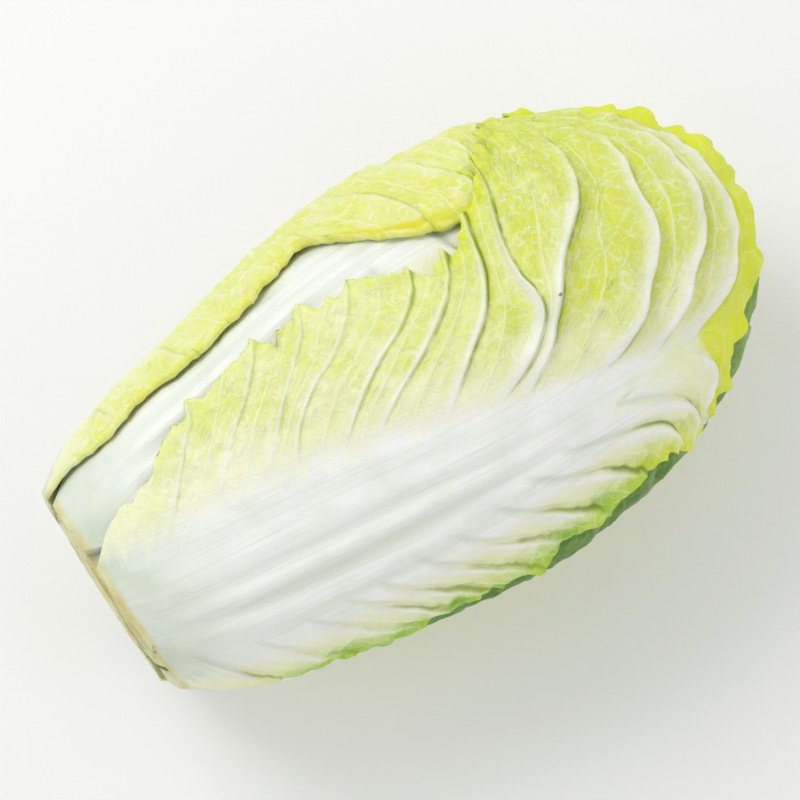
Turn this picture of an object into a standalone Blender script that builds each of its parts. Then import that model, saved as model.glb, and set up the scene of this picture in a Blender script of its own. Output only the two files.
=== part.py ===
"""A head of napa cabbage lying on its side.

Large leaves wrap a dense heart and grow from a cut stem. The head's axis runs along X, with the cut base at
the -X end. A leaf is a blade between two faces. Its rows of points follow its veins, and every point lies on
a ray that leaves the head's axis, so a leaf never crosses itself. Leaves are placed from the outside in, and
each is pressed under those already there.
"""

import math
import random
from dataclasses import dataclass

import bmesh
import bpy
import numpy as np
from mathutils import Vector
from mathutils.bvhtree import BVHTree

# The head, in metres from the cut base along the axis and degrees above the widest ring of the dome
BARREL_LENGTH = 0.190
DOME_RADIUS = 0.078
BARREL = (
    (0.0, 0.0450), (0.012, 0.0535), (0.030, 0.0605), (0.068, 0.0690),
    (0.105, 0.0765), (0.150, 0.0818), (0.190, 0.0775),
)
DOME = ((0.0, 0.0775), (25.0, 0.0750), (50.0, 0.0795), (72.0, 0.0860), (90.0, 0.0915))
HEIGHT_RATIO = 0.96
FLOOR_DEPTH = 0.0742

# Leaf blades, in metres
AIR = 0.0011
LAMINA = 0.0012
RIB_FADE = ((0.0, 1.0), (0.08, 0.92), (0.16, 0.62), (0.22, 0.36), (0.28, 0.14), (0.34, 0.0))
GROOVES = 5
GROOVE_DEPTH = 0.0009
CREASE = 0.22
FRILL_BAND = 0.011
BASE_FILL = 0.040
BASE_FULLNESS = 0.35

# Waves and teeth, in degrees across a leaf
TOOTH = 2.0
FRILL_WAVE = 3.6
YOUNG_TOOTH = 2.0

# How finely a leaf's grid is settled and pressed under others
GRID_PASSES = 14
PRESS_PASSES = 2
RAYS_A_CELL = 3
SHARP_ANGLE = 60.0

# Leaves other than the front one: share of the full width, width of half the rib, and height of the pleats
SPREAD = ((0.035, 0.90), (0.07, 0.96), (0.15, 1.0), (0.31, 0.84))
RIB = ((0.0, 0.030), (0.06, 0.029), (0.15, 0.019), (0.23, 0.010), (0.34, 0.005))
SHORT_RIB = ((0.0, 0.022), (0.04, 0.027), (0.15, 0.019), (0.23, 0.010), (0.34, 0.005))
STALK_RIB = ((0.0, 0.024), (0.04, 0.031), (0.15, 0.025), (0.23, 0.012), (0.34, 0.005))
INMOST_RIB = ((0.0, 0.025), (0.06, 0.026), (0.15, 0.018), (0.23, 0.010), (0.34, 0.005))
PLEATS = ((0.0, 0.0004), (0.05, 0.0010), (0.09, 0.0028), (0.18, 0.0042), (0.31, 0.0040))
VEIN_REACH = 70

# The cut stem and the clearance round it
STEM = ((0.0, 0.0185), (0.015, 0.0180), (0.040, 0.0160), (0.070, 0.0125), (0.100, 0.0080), (0.112, 0.0040))
STEM_SIDES = 36
STEM_STATIONS = 9
STEM_AIR = 0.0012
STUMP = ((0.0, 0.026), (0.015, 0.025), (0.040, 0.0175), (0.070, 0.0130), (0.100, 0.0085), (0.112, 0.0045))

# The heart: a core with a rounded foot, and young leaves that stand out of it
HEART_FOOT = 0.150
FOOT_LENGTH = 0.034
FOOT_RADIUS = 0.040
HEART_SIDES = 22
HEART_RINGS = 13
HEART_LEAVES = 7
CORE_INSET = 0.0060
YOUNG_FOOT = 0.165
YOUNG_TOPS = (0.310, 0.328)
YOUNG_DROP = 0.030
YOUNG_HALF = 44.0
YOUNG_DEPTH = 0.010
YOUNG_WAVE = 0.0014
YOUNG_STEP = 0.0014
YOUNG_SINK = 0.0030
YOUNG_BLADE = 0.0018

LEAF_TURN = 137.5
SEED = 7

COLOURS = {
    "outer": (0.72, 0.80, 0.30),
    "pale": (0.82, 0.85, 0.52),
    "inner": (0.88, 0.86, 0.45),
    "stem": (0.80, 0.74, 0.52),
}


@dataclass
class Leaf:
    """One large leaf. Places along it are metres from the cut base, and places across it are degrees.

    The margins and the midrib give degrees for places along, and each vein gives places along for degrees.
    """

    name: str
    angle: float
    left: tuple
    right: tuple
    midrib: tuple
    veins: tuple
    rib_width: tuple
    rib_thickness: float
    depth: float
    left_pleats: tuple
    right_pleats: tuple
    frill: float
    curl: float
    row_shares: tuple
    tip_shares: tuple
    columns: int
    colour: str
    lobe: float = 0.0
    fills_base: bool = False


def remove_everything():
    for thing in list(bpy.data.objects):
        bpy.data.objects.remove(thing, do_unlink=True)


def material(name):
    made = bpy.data.materials.new("cabbage_" + name)
    made.use_nodes = True
    shader = made.node_tree.nodes["Principled BSDF"]
    shader.inputs["Base Color"].default_value = (*COLOURS[name], 1.0)
    shader.inputs["Roughness"].default_value = 0.45
    shader.inputs["Metallic"].default_value = 0.0
    return made


def curve(points, where):
    """Reads a smooth curve through (place, value) points."""
    places, values = (np.array(column, float) for column in zip(*points))
    where = np.clip(where, places[0], places[-1])
    slopes = np.gradient(values, places)
    left = np.clip(np.searchsorted(places, where) - 1, 0, len(places) - 2)
    step = places[left + 1] - places[left]
    f = (where - places[left]) / step
    start = values[left] * (1 + 2 * f) * (1 - f) ** 2 + slopes[left] * step * f * (1 - f) ** 2
    end = values[left + 1] * f**2 * (3 - 2 * f) - slopes[left + 1] * step * f**2 * (1 - f)
    return start + end


def rise(value, low, high):
    """Nothing below the low value, one above the high one, and smooth between."""
    share = np.clip((value - low) / (high - low), 0.0, 1.0)
    return share * share * (3 - 2 * share)


def all_round(origins, directions, placed):
    """Free distances on a grid whose last column meets its first."""
    wrap = [np.concatenate([grid[:, -1:], grid, grid[:, :1]], axis=1) for grid in (origins, directions)]
    return free_distance(*wrap, placed)[:, 1:-1]


def rays(angle, along, across):
    """Origins on the axis and directions of the rays at a place along a leaf and degrees across it."""
    turn, side = math.radians(angle), np.radians(across)
    lift = np.maximum(along - BARREL_LENGTH, 0.0) / DOME_RADIUS
    outward = np.array([0.0, math.sin(turn), math.cos(turn)])
    sideways = np.array([0.0, math.cos(turn), -math.sin(turn)])
    forward = np.array([1.0, 0.0, 0.0])
    directions = (
        (np.cos(side) * np.cos(lift))[..., None] * outward
        + (np.cos(side) * np.sin(lift))[..., None] * forward
        + np.sin(side)[..., None] * sideways
    )
    origins = np.minimum(along, BARREL_LENGTH)[..., None] * forward
    return origins, directions


def surface(origins, directions):
    """Distance along each ray to the plain outer surface of the whole head."""
    lift = np.degrees(np.arcsin(np.clip(directions[..., 0], -1.0, 1.0)))
    reach = np.where(lift > 0.01, curve(DOME, lift), curve(BARREL, origins[..., 0]))
    height, width = directions[..., 2], np.hypot(directions[..., 0], directions[..., 1])
    return reach / np.sqrt((height / HEIGHT_RATIO) ** 2 + width**2)


def over_floor(distance, directions):
    """Keeps what faces down above the flat spot that the head rests on."""
    down = np.maximum(-directions[..., 2], 1e-6)
    return np.minimum(distance, FLOOR_DEPTH / down)


def between(values, times):
    """Adds evenly spaced places between the rows and between the columns of a grid."""
    for axis in (0, 1):
        count = values.shape[axis]
        places = np.linspace(0, count - 1, (count - 1) * times + 1)
        low = np.minimum(places.astype(int), count - 2)
        share = (places - low).reshape([-1 if one == axis else 1 for one in range(values.ndim)])
        values = np.take(values, low, axis) * (1 - share) + np.take(values, low + 1, axis) * share
    return values


def free_distance(origins, directions, placed):
    """Least distance to the blades already placed, over the cells round each point of a grid."""
    if placed is None:
        return np.full(origins.shape[:2], 1.0)
    origins, directions = between(origins, RAYS_A_CELL), between(directions, RAYS_A_CELL)
    directions /= np.linalg.norm(directions, axis=-1, keepdims=True)
    free = np.full(origins.shape[:2], 1.0)
    for place in np.ndindex(free.shape):
        hit = placed.ray_cast(Vector(origins[place]), Vector(directions[place]))
        if hit[3] is not None:
            free[place] = hit[3]
    padded = np.pad(free, RAYS_A_CELL, mode="edge")
    rows, columns = free.shape
    reach = range(2 * RAYS_A_CELL + 1)
    around = [
        padded[i : i + rows : RAYS_A_CELL, j : j + columns : RAYS_A_CELL]
        for i in reach
        for j in reach
    ]
    return np.min(around, axis=0)


def pressed(wanted, limit):
    """Presses a blade under its limit, and draws the points round each pressed one in with it."""
    drop = np.maximum(wanted - limit, 0.0)
    for _ in range(PRESS_PASSES):
        padded = np.pad(drop, 1, mode="edge")
        near = padded[:-2, 1:-1] + padded[2:, 1:-1] + padded[1:-1, :-2] + padded[1:-1, 2:]
        drop = np.maximum(drop, near / 4)
    return wanted - drop


def row_places(leaf):
    """Each row as a line number and a share of the way to the next line. The first line is the cut base."""
    last = len(leaf.veins)
    places = [line + share for line in range(last) for share in leaf.row_shares]
    return places + [last + share for share in leaf.tip_shares] + [float(last)]


def vein_lines(leaf, across):
    """Places along the leaf of the cut base and of each vein, at given degrees across it."""
    return np.stack([np.zeros_like(across)] + [curve(vein, across) for vein in leaf.veins])


def leaf_grid(leaf):
    """Places along and degrees across for each point of a leaf, with a tooth where a vein meets a margin."""
    rows = np.array(row_places(leaf))
    line = np.minimum(rows.astype(int), len(leaf.veins) - 1)
    share = (rows - line)[:, None]
    c = np.linspace(-1.0, 1.0, leaf.columns + 1)[None, :]
    columns = np.arange(leaf.columns + 1)[None, :]
    along = (rows / rows[-1])[:, None] * leaf.veins[-1][0][1] + 0.0 * c
    for _ in range(GRID_PASSES):
        middle = curve(leaf.midrib, along)
        half = np.where(c > 0, curve(leaf.left, along) - middle, middle - curve(leaf.right, along))
        across = middle + half * c
        lines = vein_lines(leaf, across)
        low = lines[line[:, None], np.arange(len(rows))[:, None], columns]
        high = lines[line[:, None] + 1, np.arange(len(rows))[:, None], columns]
        along = 0.5 * along + 0.5 * (low + (high - low) * share)
    tooth = TOOTH * (pleat_shape(share) - 0.5) * np.abs(c) ** 8 * rise(along, 0.005, 0.03)
    return c, along, middle, across + tooth * np.sign(c), line[:, None] + share


def pleat_shape(share):
    """Height of a pleat between two veins: it drops in the crease after one and climbs to the next."""
    fall = 1.0 - rise(share, 0.0, CREASE)
    climb = np.clip((share - CREASE) / (1.0 - CREASE), 0.0, 1.0) ** 1.5
    return np.maximum(fall, climb)


def rib_share(leaf, along, off_rib):
    """One on the line of the midrib, falling to nothing at the rib's edge."""
    share = np.clip(1.0 - (off_rib / curve(leaf.rib_width, along)) ** 2, 0.0, 1.0)
    return share**1.3


def relief(leaf, c, along, across, off_rib, place):
    """Height of the pleats, rib grooves, curl and frilled tip over the plain surface."""
    width = curve(leaf.rib_width, along)
    grooves = GROOVE_DEPTH * np.cos(GROOVES * math.pi * off_rib / width) * rib_share(leaf, along, off_rib)
    side = np.abs(off_rib) - width
    size = np.where(off_rib > 0, curve(leaf.left_pleats, along), curve(leaf.right_pleats, along))
    pleats = size * pleat_shape(place % 1.0) * rise(side, -0.004, 0.014)
    lobe = leaf.lobe * rise(place, 5.0, 5.5) * (1 - rise(place, 6.0, 7.0)) * rise(across, 4.0, 18.0)
    tip = 1 - rise(curve(leaf.veins[-1], across) - along, 0.0, FRILL_BAND)
    waves = 0.5 + 0.5 * np.cos(across / FRILL_WAVE + leaf.angle)
    frill = leaf.frill * tip * waves
    curl = leaf.curl * rise(-c, 0.80, 1.0) * rise(along, 0.01, 0.05)
    return grooves + pleats + lobe + frill + curl


def leaf_faces(leaf, placed):
    """Outer and inner points of a leaf's blade."""
    c, along, middle, across, place = leaf_grid(leaf)
    origins, directions = rays(leaf.angle, along, across)
    plain = surface(origins, directions)
    off_rib = np.radians(across - middle) * plain
    wanted = plain - leaf.depth + relief(leaf, c, along, across, off_rib, place)
    outer = pressed(wanted, free_distance(origins, directions, placed) - AIR)
    outer = over_floor(outer, directions)
    fullness = BASE_FULLNESS + (1 - BASE_FULLNESS) * rise(along, 0.0, BASE_FILL)
    rib = leaf.rib_thickness * curve(RIB_FADE, along) * rib_share(leaf, along, off_rib) ** fullness
    inner = outer - LAMINA - rib
    if leaf.fills_base:
        to_stem = curve(STEM, along) + STEM_AIR
        near_base = 1 - rise(along, 0.5 * BASE_FILL, BASE_FILL)
        inner += (to_stem - inner) * near_base * rib_share(leaf, along, off_rib) ** BASE_FULLNESS
    return origins + outer[..., None] * directions, origins + inner[..., None] * directions


def blade(name, outer, inner):
    """A closed blade between two like grids of points, split into triangles alike on both faces."""
    rows, columns = outer.shape[:2]
    mesh = bmesh.new()
    top = [[mesh.verts.new(point) for point in row] for row in outer]
    low = [[mesh.verts.new(point) for point in row] for row in inner]

    for i in range(rows - 1):
        for j in range(columns - 1):
            corners = ((i, j), (i + 1, j), (i + 1, j + 1), (i, j + 1))
            turn = (i + j) % 2
            a, b, c, d = corners[turn:] + corners[:turn]
            for one in ((a, b, c), (a, c, d)):
                mesh.faces.new([top[k][m] for k, m in one])
                mesh.faces.new([low[k][m] for k, m in reversed(one)])

    border = [(i, 0) for i in range(rows)] + [(rows - 1, j) for j in range(1, columns)]
    border += [(i, columns - 1) for i in range(rows - 2, -1, -1)]
    border += [(0, j) for j in range(columns - 2, 0, -1)]
    for (i, j), (k, m) in zip(border, border[1:] + border[:1]):
        mesh.faces.new((low[k][m], low[i][j], top[i][j]))
        mesh.faces.new((top[k][m], low[k][m], top[i][j]))

    bmesh.ops.recalc_face_normals(mesh, faces=mesh.faces)
    return finished(name, mesh)


def finished(name, mesh):
    """An object from a bmesh, shaded smooth except over sharp edges."""
    data = bpy.data.meshes.new(name)
    mesh.to_mesh(data)
    mesh.free()
    data.shade_smooth()
    data.set_sharp_from_angle(angle=math.radians(SHARP_ANGLE))
    made = bpy.data.objects.new(name, data)
    bpy.context.collection.objects.link(made)
    return made


def tree_of(objects):
    """One search tree over the faces of several objects."""
    points, faces = [], []
    for thing in objects:
        start = len(points)
        points += [vertex.co.copy() for vertex in thing.data.vertices]
        faces += [[start + index for index in face.vertices] for face in thing.data.polygons]
    return BVHTree.FromPolygons(points, faces)


def front_leaf():
    """The outermost leaf: a broad fan of a rib, deep lobes by the tip on one side and pleats on the other."""
    veins = (
        ((-62, 0.062), (-45, 0.042), (-13, 0.020), (10, 0.042), (24, 0.064), (48, 0.098), (72, 0.112)),
        ((-62, 0.095), (-40, 0.058), (-13, 0.046), (13, 0.078), (25, 0.100), (38, 0.118), (72, 0.134)),
        ((-62, 0.122), (-50, 0.102), (-38, 0.078), (-13, 0.068), (5, 0.088), (17, 0.107), (29, 0.130))
        + ((45, 0.144), (72, 0.150)),
        ((-62, 0.145), (-48, 0.122), (-36, 0.098), (-13, 0.090), (8, 0.115), (16, 0.131), (24, 0.149))
        + ((40, 0.158), (72, 0.163)),
        ((-62, 0.162), (-45, 0.140), (-34, 0.115), (-13, 0.108), (4, 0.129), (16, 0.151), (23, 0.163))
        + ((34, 0.169), (72, 0.175)),
        ((-62, 0.176), (-50, 0.168), (-40, 0.155), (-30, 0.132), (-13, 0.124), (1, 0.153), (10, 0.170))
        + ((20, 0.178), (37, 0.182), (72, 0.187)),
        ((-62, 0.187), (-45, 0.184), (-36, 0.172), (-28, 0.150), (-13, 0.140), (-4, 0.152), (2, 0.167))
        + ((11, 0.183), (20, 0.194), (27, 0.208), (40, 0.227), (50, 0.234), (72, 0.238)),
        ((-62, 0.197), (-41, 0.207), (-35, 0.200), (-29, 0.182), (-23, 0.168), (-16, 0.164), (-8, 0.190))
        + ((-1, 0.212), (5, 0.226), (14, 0.237), (28, 0.247), (45, 0.259), (72, 0.265)),
        ((-62, 0.206), (-41, 0.220), (-33, 0.218), (-26, 0.204), (-20, 0.194), (-14, 0.210), (-8, 0.230))
        + ((1, 0.247), (9, 0.260), (20, 0.272), (42, 0.282), (72, 0.286)),
        ((-62, 0.213), (-41, 0.229), (-31, 0.240), (-25, 0.236), (-20, 0.230), (-15, 0.240), (-9, 0.254))
        + ((0, 0.266), (10, 0.277), (30, 0.289), (72, 0.296)),
        ((-62, 0.222), (-41, 0.240), (-30, 0.255), (-19, 0.270), (-3, 0.285), (11, 0.295), (30, 0.302))
        + ((72, 0.308),),
    )
    return Leaf(
        name="leaf_01_front",
        angle=-25.0,
        left=(
            (0.0, 38), (0.042, 50), (0.062, 54), (0.104, 57), (0.134, 51),
            (0.152, 43), (0.170, 43), (0.184, 54), (0.205, 66), (0.308, 66),
        ),
        right=((0.0, -58), (0.04, -61), (0.11, -59), (0.16, -60), (0.22, -60), (0.31, -58)),
        midrib=((0.0, -10), (0.10, -13), (0.20, -18), (0.31, -14)),
        veins=veins,
        rib_width=((0.0, 0.034), (0.06, 0.037), (0.15, 0.024), (0.20, 0.012), (0.25, 0.006), (0.32, 0.004)),
        rib_thickness=0.0080,
        depth=0.0010,
        left_pleats=((0.0, 0.0004), (0.12, 0.0014), (0.165, 0.0020), (0.200, 0.0044), (0.31, 0.0042)),
        right_pleats=((0.0, 0.0008), (0.08, 0.0022), (0.15, 0.0030), (0.31, 0.0038)),
        frill=0.0045,
        curl=0.0,
        row_shares=(0.0, CREASE, 0.58),
        tip_shares=(),
        columns=24,
        colour="outer",
        lobe=0.0022,
    )


def even_veins(count, reach, lean=0.040, drop=0.040):
    """Veins in chevrons up a leaf, ending with a rounded tip margin."""
    lines = []
    for number in range(1, count + 1):
        share = number / count
        bend = lean * 4 * share * (1 - share) - drop * share**3
        places = np.linspace(-VEIN_REACH, VEIN_REACH, 7)
        lines.append(tuple((d, reach * share + bend * (abs(d) / VEIN_REACH) ** 1.4) for d in places))
    return tuple(lines)


def ring_leaf(name, angle, base, half, reach, **other):
    """A leaf that starts between two angles at the cut base and then spreads to half its width each way."""
    right, left = base[0] - angle, base[1] - angle
    fields = dict(
        left=((0.0, left),) + tuple((place, half * share) for place, share in SPREAD),
        right=((0.0, right),) + tuple((place, -half * share) for place, share in SPREAD),
        midrib=((0.0, (left + right) / 2), (0.05, 0), (0.34, 3)),
        veins=even_veins(other.pop("count"), reach),
        rib_width=RIB,
        left_pleats=PLEATS,
        right_pleats=PLEATS,
        frill=0.0038,
        curl=0.0,
        row_shares=(0.0, CREASE),
        tip_shares=(-0.26, -0.12),
    )
    fields.update(other)
    return Leaf(name=name, angle=angle, **fields)


def outer_leaves():
    """The four leaves beside the front one. At the cut base they stand side by side."""
    back_edge = (
        (0.0, -51), (0.024, -60), (0.10, -58), (0.128, -54),
        (0.145, -68), (0.165, -76), (0.21, -68), (0.31, -54),
    )
    fine = dict(count=7, row_shares=(0.0, CREASE, 0.58))
    return [
        ring_leaf(
            "leaf_02_back", 106, (55, 149), 56, 0.284, depth=0.0014, rib_thickness=0.0072,
            columns=15, colour="pale", right=back_edge, curl=0.0042, **fine
        ),
        ring_leaf(
            "leaf_03_underside", 184, (151, 229), 57, 0.276, depth=0.0014, rib_thickness=0.0072,
            columns=14, colour="outer", **fine
        ),
        ring_leaf(
            "leaf_04_shaded", -104, (-129, -85), 50, 0.290, depth=0.0016, rib_thickness=0.0068,
            columns=14, colour="outer", rib_width=SHORT_RIB, **fine
        ),
        ring_leaf(
            "leaf_05_stalk", 33, (15, 53), 50, 0.300, depth=0.0022, rib_thickness=0.0068,
            columns=13, colour="pale", rib_width=STALK_RIB, count=7
        ),
    ]


def wrapped_leaves():
    """Two rings of three leaves under the outer ones. The innermost ring closes round the stem."""
    places = (
        ("leaf_06_wrapped", 125, 0.294, 0.0030), ("leaf_07_wrapped", -115, 0.300, 0.0036),
        ("leaf_08_wrapped", 5, 0.304, 0.0042), ("leaf_09_wrapped", 65, 0.308, 0.0100),
        ("leaf_10_wrapped", 185, 0.306, 0.0100), ("leaf_11_wrapped", -55, 0.312, 0.0100),
    )
    ring = dict(rib_thickness=0.0060, count=6, columns=12, colour="pale")
    inmost = dict(
        rib_thickness=0.0055, count=5, columns=11, colour="inner",
        rib_width=INMOST_RIB, fills_base=True,
    )
    made = []
    for number, (name, angle, reach, depth) in enumerate(places):
        fields = ring if number < 3 else inmost
        made.append(ring_leaf(name, angle, (angle - 58, angle + 58), 56, reach, depth=depth, **fields))
    return made


def build_leaves():
    """Every large leaf, from the outermost in."""
    made = []
    for leaf in [front_leaf()] + outer_leaves() + wrapped_leaves():
        placed = tree_of(made) if made else None
        piece = blade(leaf.name, *leaf_faces(leaf, placed))
        piece.data.materials.append(bpy.data.materials["cabbage_" + leaf.colour])
        made.append(piece)
    return made


def build_stem(placed):
    """The cut stump, which fills the middle of the base, and the cone that runs up inside the leaves."""
    stations = np.linspace(0.0, STEM[-1][0], STEM_STATIONS)[:, None]
    turn = np.linspace(0.0, math.tau, STEM_SIDES, endpoint=False)[None, :]
    stations, turn = stations + 0.0 * turn, turn + 0.0 * stations
    directions = np.stack([np.zeros_like(turn), np.sin(turn), np.cos(turn)], axis=-1)
    origins = np.stack([stations, np.zeros_like(turn), np.zeros_like(turn)], axis=-1)
    reach = np.minimum(all_round(origins, directions, placed) - STEM_AIR, curve(STUMP, stations))
    stem = closed_tube("stem", origins + reach[..., None] * directions)
    stem.data.materials.append(bpy.data.materials["cabbage_stem"])
    return stem


def closed_tube(name, points):
    """A closed body from rings of points, with a fan of triangles over each end."""
    mesh = bmesh.new()
    grid = [[mesh.verts.new(point) for point in row] for row in points]
    sides = len(grid[0])
    for low, high in zip(grid, grid[1:]):
        for j in range(sides):
            k = (j + 1) % sides
            mesh.faces.new((low[j], low[k], high[k]))
            mesh.faces.new((low[j], high[k], high[j]))
    for ring, place in ((grid[0], points[0]), (grid[-1], points[-1])):
        middle = mesh.verts.new(place.mean(axis=0))
        for j in range(sides):
            mesh.faces.new((ring[j], ring[(j + 1) % sides], middle))
    bmesh.ops.recalc_face_normals(mesh, faces=mesh.faces)
    return finished(name, mesh)


def heart_rays(lift, turn):
    """Rays of the heart: a fan at its foot, a short barrel and a fan in the dome."""
    tilt = np.where(lift < 0, lift, np.maximum(lift - 1.0, 0.0)) * math.pi / 2
    start = HEART_FOOT + np.clip(lift, 0.0, 1.0) * (BARREL_LENGTH - HEART_FOOT)
    directions = np.stack([np.sin(tilt), np.cos(tilt) * np.sin(turn), np.cos(tilt) * np.cos(turn)], axis=-1)
    origins = np.stack([start, np.zeros_like(start), np.zeros_like(start)], axis=-1)
    return origins, directions


def heart_core(placed):
    """The smaller dense core that the heart's own leaves stand out of."""
    lift = np.linspace(-0.92, 1.94, HEART_RINGS)[:, None] + np.zeros((1, HEART_SIDES))
    turn = np.linspace(0.0, math.tau, HEART_SIDES, endpoint=False)[None, :] + np.zeros((HEART_RINGS, 1))
    origins, directions = heart_rays(lift, turn)
    limit = all_round(origins, directions, placed)
    tilt = lift * math.pi / 2
    foot = np.hypot(FOOT_LENGTH * np.sin(tilt), FOOT_RADIUS * np.cos(tilt))
    reach = np.minimum(limit - AIR - CORE_INSET, np.where(lift < 0, foot, 1.0))
    return closed_tube("heart", origins + reach[..., None] * directions)


def young_leaf(number, placed, draw):
    """A young leaf whose lower part is sunk in the core and whose frilled tip stands free."""
    rows, columns = 10, 8
    t = np.linspace(0.0, 1.0, rows + 1)[:, None]
    c = np.linspace(-1.0, 1.0, columns + 1)[None, :]
    top = draw.uniform(*YOUNG_TOPS)
    along = YOUNG_FOOT + (top - YOUNG_DROP * c * c - YOUNG_FOOT) * t
    teeth = YOUNG_TOOTH * np.sin(along / 0.006 + number) * np.abs(c) ** 6
    across = YOUNG_HALF * c + teeth
    origins, directions = rays(number * LEAF_TURN, along, across)
    limit = free_distance(origins, directions, placed) - AIR
    deeper = YOUNG_STEP * (number % 4)
    waves = YOUNG_WAVE * np.cos(number + 5.0 * c) * t**3
    wanted = surface(origins, directions) - YOUNG_DEPTH - deeper + waves
    outer = pressed(wanted, limit - deeper)
    sunk = limit - CORE_INSET - YOUNG_SINK
    inner = outer - YOUNG_BLADE
    inner = np.minimum(inner, sunk + (inner - sunk) * rise(t, 0.55, 0.85))
    points = [origins + reach[..., None] * directions for reach in (outer, inner)]
    return blade(f"young_leaf_{number}", *points)


def keep_outer_shell(data):
    """Fills the hollows that the union seals and drops its scraps, which are islands of their own."""
    mesh = bmesh.new()
    mesh.from_mesh(data)
    unseen, islands = set(mesh.faces), []
    while unseen:
        island, edge = set(), {unseen.pop()}
        while edge:
            island |= edge
            edge = {near for face in edge for side in face.edges for near in side.link_faces} - island
        unseen -= island
        islands.append(island)
    islands.sort(key=len)
    for island in islands[:-1]:
        bmesh.ops.delete(mesh, geom=list(island), context="FACES")
    loose = [vertex for vertex in mesh.verts if not vertex.link_faces]
    bmesh.ops.delete(mesh, geom=loose, context="VERTS")
    mesh.to_mesh(data)
    mesh.free()


def build_heart(placed, draw):
    """The heart: its core and young leaves, joined by one union."""
    heart = heart_core(placed)
    young = bpy.data.collections.new("young_leaves")
    for number in range(HEART_LEAVES):
        piece = young_leaf(number, placed, draw)
        bpy.context.collection.objects.unlink(piece)
        young.objects.link(piece)

    union = heart.modifiers.new("young", "BOOLEAN")
    union.operand_type = "COLLECTION"
    union.collection = young
    union.operation = "UNION"
    union.solver = "MANIFOLD"
    bpy.context.view_layer.update()
    joined = bpy.data.meshes.new_from_object(heart.evaluated_get(bpy.context.evaluated_depsgraph_get()))
    heart.modifiers.clear()
    heart.data = joined
    keep_outer_shell(joined)

    for piece in list(young.objects):
        bpy.data.objects.remove(piece, do_unlink=True)
    bpy.data.collections.remove(young)
    joined.materials.clear()
    joined.materials.append(bpy.data.materials["cabbage_inner"])
    return heart


def set_down(pieces):
    """Centres the head's box over the origin and puts its flat spot at zero height."""
    points = np.array([vertex.co for piece in pieces for vertex in piece.data.vertices])
    low, high = points.min(axis=0), points.max(axis=0)
    shift = Vector((-(low[0] + high[0]) / 2, -(low[1] + high[1]) / 2, FLOOR_DEPTH))
    for piece in pieces:
        for vertex in piece.data.vertices:
            vertex.co += shift


def build():
    remove_everything()
    for name in COLOURS:
        material(name)
    leaves = build_leaves()
    placed = tree_of(leaves)
    pieces = leaves + [build_stem(placed), build_heart(placed, random.Random(SEED))]
    set_down(pieces)
    head = bpy.data.objects.new("head", None)
    bpy.context.collection.objects.link(head)
    for piece in pieces:
        piece.parent = head


build()
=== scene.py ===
"""A head of napa cabbage on a pale floor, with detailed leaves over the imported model.

Each large leaf is made again on rays from the head's axis, as in the part's source, with finer veins,
puffed cells and frilled margins, and takes the place of its node. Masks on its points tell the materials
where ribs, veins, creases and margins are.
"""

import math
from dataclasses import dataclass

import bmesh
import bpy
import numpy as np
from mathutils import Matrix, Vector, noise
from mathutils.bvhtree import BVHTree


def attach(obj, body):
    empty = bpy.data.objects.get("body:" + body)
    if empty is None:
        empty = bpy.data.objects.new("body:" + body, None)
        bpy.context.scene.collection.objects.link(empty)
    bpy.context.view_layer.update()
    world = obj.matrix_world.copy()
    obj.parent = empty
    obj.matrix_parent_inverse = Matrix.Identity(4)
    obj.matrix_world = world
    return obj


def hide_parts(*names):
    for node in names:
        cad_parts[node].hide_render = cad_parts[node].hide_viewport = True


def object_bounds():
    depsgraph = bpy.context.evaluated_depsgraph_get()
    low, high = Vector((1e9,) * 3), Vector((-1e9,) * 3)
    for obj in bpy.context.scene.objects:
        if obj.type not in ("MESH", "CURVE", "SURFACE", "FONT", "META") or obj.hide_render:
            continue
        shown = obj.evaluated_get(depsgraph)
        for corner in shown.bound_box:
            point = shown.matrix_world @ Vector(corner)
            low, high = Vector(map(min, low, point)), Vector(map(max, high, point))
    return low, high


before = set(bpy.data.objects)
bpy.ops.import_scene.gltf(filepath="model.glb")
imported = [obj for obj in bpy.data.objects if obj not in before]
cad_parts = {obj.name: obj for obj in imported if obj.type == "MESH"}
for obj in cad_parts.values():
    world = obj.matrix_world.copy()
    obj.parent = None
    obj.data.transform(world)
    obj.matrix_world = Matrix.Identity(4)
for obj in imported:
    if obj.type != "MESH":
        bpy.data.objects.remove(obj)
FRAME_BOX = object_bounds()

# The head, in metres from the cut base along the axis and degrees above the widest ring of the dome
BARREL_LENGTH = 0.190
DOME_RADIUS = 0.078
BARREL = (
    (0.0, 0.0450), (0.012, 0.0535), (0.030, 0.0605), (0.068, 0.0690),
    (0.105, 0.0765), (0.150, 0.0818), (0.190, 0.0775),
)
DOME = ((0.0, 0.0775), (25.0, 0.0750), (50.0, 0.0795), (72.0, 0.0860), (90.0, 0.0915))
HEIGHT_RATIO = 0.96
FLOOR_DEPTH = 0.0742
AXIS = Vector((FRAME_BOX[0].x, 0.000443, FLOOR_DEPTH))

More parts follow.
